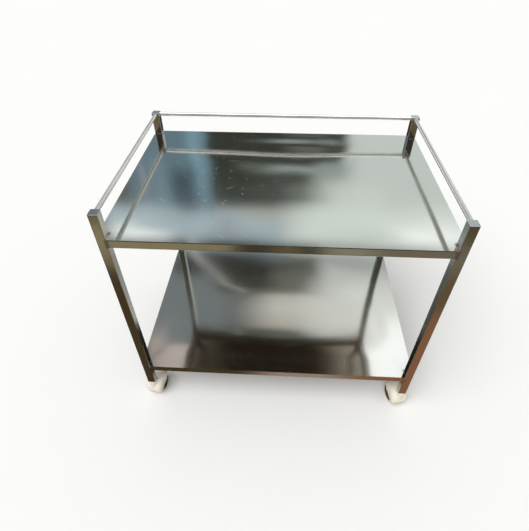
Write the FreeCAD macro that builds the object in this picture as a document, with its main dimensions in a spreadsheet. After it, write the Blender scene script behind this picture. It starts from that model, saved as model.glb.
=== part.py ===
import FreeCAD, Part
import math
import os

import Sketcher

# Instrument trolley: a square-tube frame with two sheet shelves, a round guard rail on three
# sides and four twin-wheel castors. Millimetres, +Z up, +X along the long side, the open front
# towards -Y. The origin is on the floor under the middle of the frame.

# Driving dimensions: name, value, meaning
DIMENSIONS = [
    ("frame_length", 914, "outside of the posts, left to right"),
    ("frame_depth", 610, "outside of the posts, front to rear"),
    ("castor_height", 93, "floor to the lower end of a post"),
    ("leg_drop", 102, "lower end of a post to the top of the lower shelf"),
    ("shelf_spacing", 565, "top of the lower shelf to the top of the upper shelf"),
    ("post_rise", 75, "top of the upper shelf to the top of a post"),
    ("tube_side", 25, "outside of the square tube"),
    ("tube_wall", 1.2, "wall of the square tube"),
    ("tube_corner", 2, "outside corner radius of the square tube"),
    ("cap_thickness", 1.5, "plate that closes the top of a post"),
    ("cap_softening", 0.6, "ground edge round the top of a cap"),
    ("rail_diameter", 12.7, "outside of the guard rail tube"),
    ("rail_wall", 1, "wall of the guard rail tube"),
    ("sheet_thickness", 1.2, "shelf sheet"),
    ("hem_width", 14, "folded edge under the sheet"),
    ("hem_height", 3, "sheet and folded edge together"),
    ("hem_radius", 1.4, "rounding of the folded edge"),
    ("sheet_inset", 1, "shelf edge inside the outer faces of the posts"),
    ("notch_gap", 0.3, "shelf notch to post, all round the post"),
    ("plug_flange", 2.5, "plug flange under the end of a post"),
    ("plug_length", 32, "plug inside a post"),
    ("plug_gap", 0.1, "plug to the inside of the tube"),
    ("plug_corner", 1, "corner radius of the plug inside the tube"),
    ("fixed_fit", 0.02, "radial clearance of pieces that stay together"),
    ("running_fit", 0.05, "radial clearance of pieces that turn"),
    ("stem_diameter", 10, "king pin inside the hood"),
    ("stem_shank", 11, "king pin inside the plug"),
    ("stem_tip", 1, "chamfer at both ends of the king pin"),
    ("stem_reserve", 2, "plug above the end of the king pin"),
    ("stem_end_height", 47, "lower end of the king pin above the floor"),
    ("stem_end_gap", 1, "king pin to the bottom of its bore"),
    ("clip_groove_rise", 5, "clip groove above the end of the king pin"),
    ("clip_groove_width", 2, "clip groove in the king pin"),
    ("clip_groove_depth", 0.8, "clip groove in the king pin"),
    ("collar_diameter", 24, "collar of the king pin"),
    ("collar_thickness", 2, "collar of the king pin"),
    ("swivel_gap", 0.4, "collar to the top of the hood"),
    ("wheel_diameter", 75, "outside of a tyre"),
    ("wheel_width", 18, "width of one wheel"),
    ("castor_trail", 26, "swivel axis to wheel axis"),
    ("web_thickness", 19, "middle wall of the hood, between the wheels"),
    ("web_gap", 0.6, "wheel to the middle wall"),
    ("skirt_gap", 0.8, "wheel to the side skirt"),
    ("skirt_thickness", 2, "side skirt of the hood"),
    ("hood_gap", 2.5, "tyre to the inside of the hood"),
    ("hood_wall", 2.5, "wall of the hood round the tyres"),
    ("shoulder_gap", 3, "inner rounding of the hood beyond the tyre's shoulder"),
    ("shoulder_wall", 4, "outer rounding of the hood beyond the inner one"),
    ("hood_front_lip", 24, "front lip of the hood above the floor"),
    ("hood_rear_lip", 62, "rear lip of the hood above the floor"),
    ("boss_diameter", 29, "king pin boss on top of the hood"),
    ("boss_root", 45, "bottom of the king pin boss above the floor"),
    ("boss_softening", 1.5, "rounding at the top of the boss"),
    ("boss_blend", 3, "hollow where the boss meets the arch"),
    ("axle_diameter", 8, "axle"),
    ("axle_boss_radius", 13, "middle wall round the axle"),
    ("axle_tip", 0.8, "chamfer at the ends of the axle"),
    ("axle_end_gap", 0.5, "end of the axle to the bottom of its bore"),
    ("hub_wall", 4, "wheel centre beyond the end of its bore"),
    ("hub_radius", 10, "hub of the wheel centre"),
    ("hub_draft", 1, "hub grows by this much towards the face"),
    ("disc_thickness", 3, "face of the wheel centre"),
    ("rim_wall", 3, "rim of the wheel centre under the tyre"),
    ("rim_inset", 0.8, "rim inside the sides of the tyre"),
    ("face_recess", 2.4, "face of the wheel centre inside the tyre"),
    ("face_slope", 1.5, "slope where the rim meets the face"),
    ("ring_radius", 19, "middle of the raised ring on the face"),
    ("ring_width", 2.4, "raised ring on the face"),
    ("ring_height", 0.9, "raised ring on the face"),
    ("dome_radius", 15, "edge of the domed hub cover"),
    ("dome_curve", 60, "curve of the domed hub cover"),
    ("dome_step", 0.5, "edge of the domed hub cover above the face"),
    ("tyre_thickness", 10, "tyre"),
    ("tyre_shoulder", 9, "rounding of the tyre's outer shoulder"),
    ("tyre_inner_shoulder", 1.5, "rounding of the tyre's shoulder beside the middle wall"),
    ("left_swivel", -12, "front left castor, degrees from straight"),
    ("right_swivel", 14, "front right castor, degrees from straight"),
]

document = FreeCAD.newDocument("InstrumentTrolley")
sheet = document.addObject("Spreadsheet::Sheet", "Sizes")


class Size:
    """A number together with the sheet formula that gives it."""

    def __init__(self, value, formula):
        self.value = float(value)
        self.formula = formula

    def __add__(self, other):
        other = as_size(other)
        return Size(self.value + other.value, f"({self.formula} + {other.formula})")

    def __radd__(self, other):
        return as_size(other) + self

    def __sub__(self, other):
        other = as_size(other)
        return Size(self.value - other.value, f"({self.formula} - {other.formula})")

    def __rsub__(self, other):
        return as_size(other) - self

    def __mul__(self, other):
        other = as_size(other)
        return Size(self.value * other.value, f"({self.formula} * {other.formula})")

    def __rmul__(self, other):
        return as_size(other) * self

    def __truediv__(self, other):
        other = as_size(other)
        return Size(self.value / other.value, f"({self.formula} / {other.formula})")

    def __neg__(self):
        return Size(-self.value, f"(-1 * {self.formula})")


def as_size(number):
    return number if isinstance(number, Size) else Size(number, f"({number})")


def least(a, b):
    return Size(min(a.value, b.value), f"min({a.formula}; {b.formula})")


def root(size):
    return Size(math.sqrt(size.value), f"sqrt({size.formula})")


def fill_sheet():
    """Write the driving dimensions to the sheet and return them by name."""
    sizes = {}
    for row, (name, value, meaning) in enumerate(DIMENSIONS, start=1):
        sheet.set(f"A{row}", name)
        sheet.set(f"B{row}", str(value))
        sheet.set(f"C{row}", meaning)
        sheet.setAlias(f"B{row}", name)
        sizes[name] = Size(value, f"Sizes.{name}")
    document.recompute()
    return sizes


S = fill_sheet()

# Places that several pieces share
POST_X = (S["frame_length"] - S["tube_side"]) / 2
POST_Y = (S["frame_depth"] - S["tube_side"]) / 2
BETWEEN_POSTS_X = S["frame_length"] - 2 * S["tube_side"]
BETWEEN_POSTS_Y = S["frame_depth"] - 2 * S["tube_side"]
LEG_END = S["castor_height"]
LOWER_SHELF = LEG_END + S["leg_drop"]
UPPER_SHELF = LOWER_SHELF + S["shelf_spacing"]
POST_TOP = UPPER_SHELF + S["post_rise"]
WHEEL_RADIUS = S["wheel_diameter"] / 2
COLLAR_BOTTOM = LEG_END - S["plug_flange"] - S["collar_thickness"]
BOSS_TOP = COLLAR_BOTTOM - S["swivel_gap"]
WHEEL_INNER = S["web_thickness"] / 2 + S["web_gap"]
WHEEL_OUTER = WHEEL_INNER + S["wheel_width"]
SKIRT_INNER = WHEEL_OUTER + S["skirt_gap"]
HOOD_WIDTH = 2 * (SKIRT_INNER + S["skirt_thickness"])
HOOD_INNER = WHEEL_RADIUS + S["hood_gap"]
HOOD_OUTER = HOOD_INNER + S["hood_wall"]
WELL_ROUND = S["tyre_shoulder"] + S["shoulder_gap"]
HOOD_ROUND = WELL_ROUND + S["shoulder_wall"]
SHOULDER_SHARE = 0.95  # the most of a tyre's thickness that its shoulder may round
ZERO = as_size(0)

CORNERS = {
    "front_left": (-1, -1),
    "front_right": (1, -1),
    "rear_left": (-1, 1),
    "rear_right": (1, 1),
}


# Document helpers

def bind(feature, path, size):
    feature.setExpression(path, size.formula)


def new_body(label, base=(ZERO, ZERO, ZERO), rotation=None, angle=None):
    """An empty body whose place follows the sheet."""
    body = document.addObject("PartDesign::Body", label)
    body.Label = label
    place = FreeCAD.Vector(*[size.value for size in base])
    body.Placement = FreeCAD.Placement(place, rotation or FreeCAD.Rotation())
    for axis, size in zip("xyz", base):
        bind(body, f"Placement.Base.{axis}", size)
    if angle is not None:
        bind(body, "Placement.Rotation.Angle", angle)
    return body


def new_sketch(body, name, plane, offset=(ZERO, ZERO, ZERO)):
    """A sketch on one of the body's own origin planes, moved by an offset in that plane's frame."""
    sketch = body.newObject("Sketcher::SketchObject", name)
    origin_plane = next(item for item in body.Origin.OriginFeatures if item.Role == plane)
    sketch.AttachmentSupport = [(origin_plane, "")]
    sketch.MapMode = "FlatFace"
    for axis, size in zip("xyz", offset):
        if size is not ZERO:
            bind(sketch, f"AttachmentOffset.Base.{axis}", size)
    return sketch


def hold(sketch, kind, place, size):
    """Add a dimension to the sketch and tie it to the sheet."""
    index = sketch.addConstraint(Sketcher.Constraint(kind, *place, size.value))
    bind(sketch, f"Constraints[{index}]", size)


def hold_point(sketch, geometry, point, x, y):
    """Tie a point's two coordinates, as distances from the sketch's origin, to the sheet."""
    for kind, size, axis in (("DistanceX", x, -2), ("DistanceY", y, -1)):
        if size is ZERO:
            sketch.addConstraint(Sketcher.Constraint("PointOnObject", geometry, point, axis))
        else:
            hold(sketch, kind, (-1, 1, geometry, point), size)


def arc_between(start, end, radius):
    """Arc from start to end; a positive radius has its centre to the left of the way there."""
    middle = (start + end) / 2
    along = end - start
    half = along.Length / 2
    left = FreeCAD.Vector(-along.y, along.x, 0).normalize()
    reach = math.sqrt(max(radius * radius - half * half, 0))
    centre = middle + left * math.copysign(reach, radius)
    first = math.atan2(start.y - centre.y, start.x - centre.x)
    last = math.atan2(end.y - centre.y, end.x - centre.x)
    circle = Part.Circle(centre, FreeCAD.Vector(0, 0, 1), abs(radius))
    if radius > 0:
        return Part.ArcOfCircle(circle, first, last), 1, 2
    return Part.ArcOfCircle(circle, last, first), 2, 1


def draw_outline(sketch, corners):
    """Closed outline. A corner is (x, y), or (x, y, radius) where an arc leads to the next one."""
    first = sketch.GeometryCount
    ends = []
    for index, corner in enumerate(corners):
        following = corners[(index + 1) % len(corners)]
        start = FreeCAD.Vector(corner[0].value, corner[1].value, 0)
        end = FreeCAD.Vector(following[0].value, following[1].value, 0)
        if len(corner) == 3:
            curve, start_point, end_point = arc_between(start, end, corner[2].value)
        else:
            curve, start_point, end_point = Part.LineSegment(start, end), 1, 2
        sketch.addGeometry(curve, False)
        ends.append((start_point, end_point))
    for index, corner in enumerate(corners):
        geometry = first + index
        after = (index + 1) % len(corners)
        joint = (geometry, ends[index][1], first + after, ends[after][0])
        sketch.addConstraint(Sketcher.Constraint("Coincident", *joint))
        hold_point(sketch, geometry, ends[index][0], corner[0], corner[1])
        if len(corner) == 3:
            radius = corner[2] if corner[2].value > 0 else -corner[2]
            hold(sketch, "Radius", (geometry,), radius)


def draw_circle(sketch, radius, x=ZERO, y=ZERO):
    centre = FreeCAD.Vector(x.value, y.value, 0)
    circle = Part.Circle(centre, FreeCAD.Vector(0, 0, 1), radius.value)
    geometry = sketch.addGeometry(circle, False)
    hold_point(sketch, geometry, 3, x, y)
    hold(sketch, "Radius", (geometry,), radius)


def rounded_square(side, corner):
    """Corners of a square round the origin, with an arc at each of its corners."""
    far = side / 2
    near = far - corner
    return [
        (near, -far, corner), (far, -near),
        (far, near, corner), (near, far),
        (-near, far, corner), (-far, near),
        (-far, -near, corner), (-near, -far),
    ]


def rectangle(left, bottom, right, top):
    return [(left, bottom), (right, bottom), (right, top), (left, top)]


def pad(body, sketch, name, length, symmetric=False):
    feature = body.newObject("PartDesign::Pad", name)
    feature.Profile = sketch
    feature.Length = length.value
    bind(feature, "Length", length)
    feature.Midplane = symmetric
    document.recompute()
    return feature


def pocket(body, sketch, name, length=None, reverse=False):
    """A pocket of a length, or without one through everything on both sides."""
    feature = body.newObject("PartDesign::Pocket", name)
    feature.Profile = sketch
    if length is None:
        feature.Type = "ThroughAll"
        feature.Midplane = True
    else:
        feature.Length = length.value
        bind(feature, "Length", length)
    feature.Reversed = reverse
    before = body.Shape.Volume
    document.recompute()
    if not feature.Shape.Volume < before:
        raise RuntimeError(f"{body.Label}: {name} cuts nothing")
    return feature


def revolve(body, sketch, name, axis):
    feature = body.newObject("PartDesign::Revolution", name)
    feature.Profile = sketch
    feature.ReferenceAxis = (sketch, [axis])
    feature.Angle = 360
    document.recompute()
    return feature


def groove(body, sketch, name, axis):
    feature = body.newObject("PartDesign::Groove", name)
    feature.Profile = sketch
    feature.ReferenceAxis = (sketch, [axis])
    feature.Angle = 360
    before = body.Shape.Volume
    document.recompute()
    if not feature.Shape.Volume < before:
        raise RuntimeError(f"{body.Label}: {name} cuts nothing")
    return feature


def mirror(body, features, name, plane):
    feature = body.newObject("PartDesign::Mirrored", name)
    feature.Originals = features
    origin_plane = next(item for item in body.Origin.OriginFeatures if item.Role == plane)
    feature.MirrorPlane = (origin_plane, [""])
    body.Tip = feature
    document.recompute()
    return feature


def soften(body, base, name, radius, wanted):
    """Round the edges of the last feature that a test picks."""
    edges = [f"Edge{index}" for index, edge in enumerate(base.Shape.Edges, start=1) if wanted(edge)]
    if not edges:
        raise RuntimeError(f"{body.Label}: {name} finds no edge")
    feature = body.newObject("PartDesign::Fillet", name)
    feature.Base = (base, edges)
    feature.Radius = radius.value
    bind(feature, "Radius", radius)
    document.recompute()
    return feature


def bevel(body, base, name, size, wanted):
    """Chamfer the edges of the last feature that a test picks."""
    edges = [f"Edge{index}" for index, edge in enumerate(base.Shape.Edges, start=1) if wanted(edge)]
    if not edges:
        raise RuntimeError(f"{body.Label}: {name} finds no edge")
    feature = body.newObject("PartDesign::Chamfer", name)
    feature.Base = (base, edges)
    feature.Size = size.value
    bind(feature, "Size", size)
    document.recompute()
    return feature


def near(a, b):
    return abs(a - b) < 1e-4


def in_plane(edge, axis, place):
    """True for an edge that lies in the plane where one of its coordinates is a given place."""
    box = edge.BoundBox
    return near(getattr(box, f"{axis}Min"), place) and near(getattr(box, f"{axis}Max"), place)


def is_circle(edge, radius):
    return hasattr(edge.Curve, "Radius") and near(edge.Curve.Radius, radius)


# Frame

ALONG_X = FreeCAD.Rotation(FreeCAD.Vector(0, 1, 0), 90)
ALONG_Y = FreeCAD.Rotation(FreeCAD.Vector(1, 0, 0), -90)


def square_tube(label, length, base, rotation=None):
    body = new_body(label, base, rotation)
    section = new_sketch(body, "Section", "XY_Plane")
    draw_outline(section, rounded_square(S["tube_side"], S["tube_corner"]))
    bore_side = S["tube_side"] - 2 * S["tube_wall"]
    draw_outline(section, rounded_square(bore_side, S["tube_corner"] - S["tube_wall"]))
    pad(body, section, "Tube", length)
    return body


def post(corner, side_x, side_y):
    base = (side_x * POST_X, side_y * POST_Y, LEG_END)
    return square_tube(f"post_{corner}", POST_TOP - S["cap_thickness"] - LEG_END, base)


def post_cap(corner, side_x, side_y):
    base = (side_x * POST_X, side_y * POST_Y, POST_TOP - S["cap_thickness"])
    body = new_body(f"post_cap_{corner}", base)
    outline = new_sketch(body, "Outline", "XY_Plane")
    draw_outline(outline, rounded_square(S["tube_side"], S["tube_corner"]))
    plate = pad(body, outline, "Plate", S["cap_thickness"])
    top = S["cap_thickness"].value
    soften(body, plate, "GroundEdge", S["cap_softening"], lambda edge: in_plane(edge, "Z", top))
    return body


def shelf_frame(level, shelf_top):
    """Four bars between the posts, their tops under the shelf's folded edge."""
    middle = shelf_top - S["hem_height"] - S["tube_side"] / 2
    start_x = -BETWEEN_POSTS_X / 2
    start_y = -BETWEEN_POSTS_Y / 2
    return [
        square_tube(f"{level}_bar_front", BETWEEN_POSTS_X, (start_x, -POST_Y, middle), ALONG_X),
        square_tube(f"{level}_bar_rear", BETWEEN_POSTS_X, (start_x, POST_Y, middle), ALONG_X),
        square_tube(f"{level}_bar_left", BETWEEN_POSTS_Y, (-POST_X, start_y, middle), ALONG_Y),
        square_tube(f"{level}_bar_right", BETWEEN_POSTS_Y, (POST_X, start_y, middle), ALONG_Y),
    ]


def shelf(level, shelf_top):
    """Sheet with a corner notch for each post and a folded edge on its four sides."""
    body = new_body(f"{level}_shelf", (ZERO, ZERO, shelf_top))
    far_x = S["frame_length"] / 2 - S["sheet_inset"]
    far_y = S["frame_depth"] / 2 - S["sheet_inset"]
    near_x = BETWEEN_POSTS_X / 2 - S["notch_gap"]
    near_y = BETWEEN_POSTS_Y / 2 - S["notch_gap"]
    fold = S["hem_height"] - S["sheet_thickness"]

    outline = new_sketch(body, "Outline", "XY_Plane", (ZERO, ZERO, -S["sheet_thickness"]))
    draw_outline(outline, [
        (-near_x, -far_y), (near_x, -far_y), (near_x, -near_y), (far_x, -near_y),
        (far_x, near_y), (near_x, near_y), (near_x, far_y), (-near_x, far_y),
        (-near_x, near_y), (-far_x, near_y), (-far_x, -near_y), (-near_x, -near_y),
    ])
    pad(body, outline, "Sheet", S["sheet_thickness"])

    under = (ZERO, ZERO, -S["hem_height"])
    front = new_sketch(body, "FrontFold", "XY_Plane", under)
    draw_outline(front, rectangle(-near_x, -far_y, near_x, S["hem_width"] - far_y))
    front_fold = pad(body, front, "FrontHem", fold)
    mirror(body, [front_fold], "RearHem", "XZ_Plane")
    side = new_sketch(body, "SideFold", "XY_Plane", under)
    draw_outline(side, rectangle(far_x - S["hem_width"], -near_y, far_x, near_y))
    side_fold = pad(body, side, "RightHem", fold)
    whole = mirror(body, [side_fold], "LeftHem", "YZ_Plane")

    def is_folded_edge(edge):
        box = edge.BoundBox
        on_top_or_bottom = in_plane(edge, "Z", 0) or in_plane(edge, "Z", -S["hem_height"].value)
        on_long_side = near(abs(box.YMin), far_y.value) and near(box.YMin, box.YMax)
        on_short_side = near(abs(box.XMin), far_x.value) and near(box.XMin, box.XMax)
        return on_top_or_bottom and (on_long_side or on_short_side)

    soften(body, whole, "RoundedFold", S["hem_radius"], is_folded_edge)
    return body


def guard_rail(label, length, base, rotation):
    body = new_body(label, base, rotation)
    section = new_sketch(body, "Section", "XY_Plane")
    draw_circle(section, S["rail_diameter"] / 2)
    draw_circle(section, S["rail_diameter"] / 2 - S["rail_wall"])
    pad(body, section, "Tube", length)
    return body


def guard_rails():
    middle = POST_TOP - S["rail_diameter"] / 2
    start_x = -BETWEEN_POSTS_X / 2
    start_y = -BETWEEN_POSTS_Y / 2
    return [
        guard_rail("guard_rail_left", BETWEEN_POSTS_Y, (-POST_X, start_y, middle), ALONG_Y),
        guard_rail("guard_rail_right", BETWEEN_POSTS_Y, (POST_X, start_y, middle), ALONG_Y),
        guard_rail("guard_rail_rear", BETWEEN_POSTS_X, (start_x, POST_Y, middle), ALONG_X),
    ]


# Castors: each piece is drawn round the swivel axis, with the floor at zero and the wheels
# trailing towards +Y, and the body's place turns it to where the castor stands.

def castor_place(side_x, side_y):
    """Swivel axis and rest angle. Each rear castor is a front one turned half round."""
    base = (side_x * POST_X, side_y * POST_Y, ZERO)
    front_angle = S["left_swivel"] if side_x * side_y > 0 else S["right_swivel"]
    angle = front_angle if side_y < 0 else 180 + front_angle
    return base, FreeCAD.Rotation(FreeCAD.Vector(0, 0, 1), angle.value), angle


def leg_plug(corner, side_x, side_y):
    body = new_body(f"leg_plug_{corner}", (side_x * POST_X, side_y * POST_Y, ZERO))
    flange = new_sketch(body, "FlangeOutline", "XY_Plane", (ZERO, ZERO, LEG_END - S["plug_flange"]))
    draw_outline(flange, rounded_square(S["tube_side"], S["tube_corner"]))
    pad(body, flange, "Flange", S["plug_flange"])
    shank = new_sketch(body, "ShankOutline", "XY_Plane", (ZERO, ZERO, LEG_END))
    shank_side = S["tube_side"] - 2 * (S["tube_wall"] + S["plug_gap"])
    draw_outline(shank, rounded_square(shank_side, S["plug_corner"]))
    pad(body, shank, "Shank", S["plug_length"])
    bore = new_sketch(body, "BoreOutline", "XY_Plane", (ZERO, ZERO, LEG_END))
    draw_circle(bore, S["stem_shank"] / 2 + S["fixed_fit"])
    pocket(body, bore, "Bore")
    return body


def castor_stem(corner, side_x, side_y):
    """King pin: its shank stays in the plug, and the hood turns on its lower end."""
    body = new_body(f"castor_stem_{corner}", (side_x * POST_X, side_y * POST_Y, ZERO))
    profile = new_sketch(body, "Profile", "XZ_Plane")
    pin = S["stem_diameter"] / 2
    shank = S["stem_shank"] / 2
    collar = S["collar_diameter"] / 2
    bottom = S["stem_end_height"]
    groove = bottom + S["clip_groove_rise"]
    groove_top = groove + S["clip_groove_width"]
    groove_radius = pin - S["clip_groove_depth"]
    collar_top = COLLAR_BOTTOM + S["collar_thickness"]
    top = LEG_END + S["plug_length"] - S["stem_reserve"]
    draw_outline(profile, [
        (ZERO, bottom), (pin - S["stem_tip"], bottom), (pin, bottom + S["stem_tip"]),
        (pin, groove), (groove_radius, groove), (groove_radius, groove_top), (pin, groove_top),
        (pin, COLLAR_BOTTOM), (collar, COLLAR_BOTTOM), (collar, collar_top), (shank, collar_top),
        (shank, top - S["stem_tip"]), (shank - S["stem_tip"], top), (ZERO, top),
    ])
    revolve(body, profile, "Pin", "V_Axis")
    return body


def wheel_sketch(body, name):
    """Sketch whose horizontal axis is the axle, with the castor's middle at zero."""
    return new_sketch(body, name, "XY_Plane", (ZERO, S["castor_trail"], WHEEL_RADIUS))


def castor_hood(corner, side_x, side_y):
    """Moulded hood: an arch over both wheels, side skirts, a middle wall and the king pin boss."""
    body = new_body(f"castor_hood_{corner}", *castor_place(side_x, side_y))
    trail = S["castor_trail"]
    front_rise = S["hood_front_lip"] - WHEEL_RADIUS
    rear_rise = S["hood_rear_lip"] - WHEEL_RADIUS
    front_y = trail - root(HOOD_OUTER * HOOD_OUTER - front_rise * front_rise)
    rear_y = trail + root(HOOD_OUTER * HOOD_OUTER - rear_rise * rear_rise)

    arch = new_sketch(body, "ArchProfile", "YZ_Plane")
    draw_outline(arch, [
        (rear_y, S["hood_rear_lip"], HOOD_OUTER), (front_y, S["hood_front_lip"]),
    ])
    block = pad(body, arch, "Arch", HOOD_WIDTH, symmetric=True)
    outer = HOOD_OUTER.value
    shell = soften(body, block, "ArchEdges", HOOD_ROUND, lambda edge: is_circle(edge, outer))

    boss = new_sketch(body, "BossOutline", "XY_Plane", (ZERO, ZERO, S["boss_root"]))
    draw_circle(boss, S["boss_diameter"] / 2)
    shell = pad(body, boss, "Boss", BOSS_TOP - S["boss_root"])
    boss_top = BOSS_TOP.value
    shell = soften(body, shell, "BossEdge", S["boss_softening"], lambda edge: in_plane(edge, "Z", boss_top))
    boss_radius = S["boss_diameter"].value / 2

    def meets_arch(edge):
        """True for the uneven edge where the side of the boss runs into the arch."""
        ends = [edge.valueAt(place) for place in edge.ParameterRange]
        on_boss = all(near(math.hypot(end.x, end.y), boss_radius) for end in ends)
        return on_boss and isinstance(edge.Curve, Part.BSplineCurve)
    soften(body, shell, "BossBlend", S["boss_blend"], meets_arch)

    well = wheel_sketch(body, "WheelWellProfile")
    wall = S["web_thickness"] / 2
    draw_outline(well, [
        (wall, ZERO), (SKIRT_INNER, ZERO), (SKIRT_INNER, HOOD_INNER - WELL_ROUND, WELL_ROUND),
        (SKIRT_INNER - WELL_ROUND, HOOD_INNER), (wall, HOOD_INNER),
    ])
    right_well = groove(body, well, "RightWheelWell", "H_Axis")
    mirror(body, [right_well], "LeftWheelWell", "YZ_Plane")

    axle_boss = new_sketch(body, "AxleBossOutline", "YZ_Plane")
    draw_circle(axle_boss, S["axle_boss_radius"], trail, WHEEL_RADIUS)
    pad(body, axle_boss, "AxleBoss", S["web_thickness"], symmetric=True)

    pin_bore = new_sketch(body, "PinBoreOutline", "XY_Plane", (ZERO, ZERO, BOSS_TOP))
    draw_circle(pin_bore, S["stem_diameter"] / 2 + S["running_fit"])
    bore_depth = BOSS_TOP - S["stem_end_height"] + S["stem_end_gap"]
    pocket(body, pin_bore, "PinBore", bore_depth)

    axle_bore = new_sketch(body, "AxleBoreOutline", "YZ_Plane")
    draw_circle(axle_bore, S["axle_diameter"] / 2 + S["fixed_fit"], trail, WHEEL_RADIUS)
    pocket(body, axle_bore, "AxleBore")
    return body


def castor_axle(corner, side_x, side_y):
    body = new_body(f"castor_axle_{corner}", *castor_place(side_x, side_y))
    section = new_sketch(body, "Section", "YZ_Plane")
    draw_circle(section, S["axle_diameter"] / 2, S["castor_trail"], WHEEL_RADIUS)
    length = 2 * (WHEEL_OUTER - S["hub_wall"] - S["axle_end_gap"])
    pin = pad(body, section, "Pin", length, symmetric=True)
    end = length.value / 2
    bevel(body, pin, "Tips", S["axle_tip"], lambda edge: near(abs(edge.BoundBox.Center.x), end))
    return body


def wheel_centre(corner, side_x, side_y, name, side):
    """Wheel centre: a hub and a rim joined by the disc that forms the outer face."""
    body = new_body(f"wheel_centre_{corner}_{name}", *castor_place(side_x, side_y))
    profile = wheel_sketch(body, "Profile")
    bore = S["axle_diameter"] / 2 + S["running_fit"]
    seat = WHEEL_RADIUS - S["tyre_thickness"]
    rim = seat - S["rim_wall"]
    face = WHEEL_OUTER - S["face_recess"]
    disc = face - S["disc_thickness"]
    rim_outer = WHEEL_OUTER - S["rim_inset"]
    rim_inner = WHEEL_INNER + S["rim_inset"]
    ring = face + S["ring_height"]
    ring_out = S["ring_radius"] + S["ring_width"] / 2
    ring_in = S["ring_radius"] - S["ring_width"] / 2
    dome_edge = face + S["dome_step"]
    dome_top = dome_edge + S["dome_curve"] - root(
        S["dome_curve"] * S["dome_curve"] - S["dome_radius"] * S["dome_radius"])
    bore_end = WHEEL_OUTER - S["hub_wall"]
    corners = [
        (WHEEL_INNER, bore), (WHEEL_INNER, S["hub_radius"]),
        (disc, S["hub_radius"] + S["hub_draft"]), (disc, rim - S["hub_draft"]),
        (rim_inner, rim), (rim_inner, seat), (rim_outer, seat), (rim_outer, rim),
        (face, rim - S["face_slope"]), (face, ring_out), (ring, ring_out), (ring, ring_in),
        (face, ring_in), (face, S["dome_radius"]),
        (dome_edge, S["dome_radius"], -side * S["dome_curve"]), (dome_top, ZERO),
        (bore_end, ZERO), (bore_end, bore),
    ]
    draw_outline(profile, [(side * corner[0],) + tuple(corner[1:]) for corner in corners])
    revolve(body, profile, "Turned", "H_Axis")
    return body


def tyre(corner, side_x, side_y, name, side):
    body = new_body(f"tyre_{corner}_{name}", *castor_place(side_x, side_y))
    profile = wheel_sketch(body, "Profile")
    seat = WHEEL_RADIUS - S["tyre_thickness"] + S["fixed_fit"]
    inner = side * WHEEL_INNER
    outer = side * WHEEL_OUTER
    draw_outline(profile, rectangle(inner, seat, outer, WHEEL_RADIUS))
    ring = revolve(body, profile, "Ring", "H_Axis")
    tread = WHEEL_RADIUS.value

    def tread_end(place):
        return lambda edge: is_circle(edge, tread) and in_plane(edge, "X", place)
    shoulder = least(S["tyre_shoulder"], S["tyre_thickness"] * SHOULDER_SHARE)
    rounded = soften(body, ring, "OuterShoulder", shoulder, tread_end(outer.value))
    soften(body, rounded, "InnerShoulder", S["tyre_inner_shoulder"], tread_end(inner.value))
    return body


def castor(corner, side_x, side_y):
    pieces = [
        leg_plug(corner, side_x, side_y),
        castor_stem(corner, side_x, side_y),
        castor_hood(corner, side_x, side_y),
        castor_axle(corner, side_x, side_y),
    ]
    for name, side in (("left", -1), ("right", 1)):
        pieces.append(wheel_centre(corner, side_x, side_y, name, side))
        pieces.append(tyre(corner, side_x, side_y, name, side))
    return pieces


# The whole trolley

def build():
    pieces = []
    for corner, (side_x, side_y) in CORNERS.items():
        pieces.append(post(corner, side_x, side_y))
        pieces.append(post_cap(corner, side_x, side_y))
    pieces += shelf_frame("upper", UPPER_SHELF)
    pieces += shelf_frame("lower", LOWER_SHELF)
    pieces.append(shelf("upper", UPPER_SHELF))
    pieces.append(shelf("lower", LOWER_SHELF))
    pieces += guard_rails()
    for corner, (side_x, side_y) in CORNERS.items():
        pieces += castor(corner, side_x, side_y)
    document.recompute()
    return pieces


def check(pieces):
    """Stop before anything is written if an object or a shape has failed."""
    failed = [item.Label for item in document.Objects if {"Invalid", "Error"} & set(item.State)]
    for piece in pieces:
        shape = piece.Shape
        if shape.isNull() or not shape.isValid() or len(shape.Solids) != 1:
            failed.append(piece.Label)
    if failed:
        raise RuntimeError("failed: " + ", ".join(failed))


def write(pieces):
    os.makedirs("parts", exist_ok=True)
    for piece in pieces:
        piece.Shape.exportStep(f"parts/{piece.Label}.step")


trolley = build()
check(trolley)
write(trolley)
box = FreeCAD.BoundBox()
for piece in trolley:
    box.add(piece.Shape.optimalBoundingBox(False))
print(f"{len(trolley)} pieces, {box.XLength:.1f} x {box.YLength:.1f} x {box.ZLength:.1f} mm")
print(f"middle {box.Center.x:.3f}, {box.Center.y:.3f}, floor {box.ZMin:.3f}")
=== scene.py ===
import math

import bmesh
import bpy
from bpy.props import FloatProperty, FloatVectorProperty, PointerProperty
from bpy.types import Operator, Panel, PropertyGroup
from mathutils import Matrix, Vector


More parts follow.
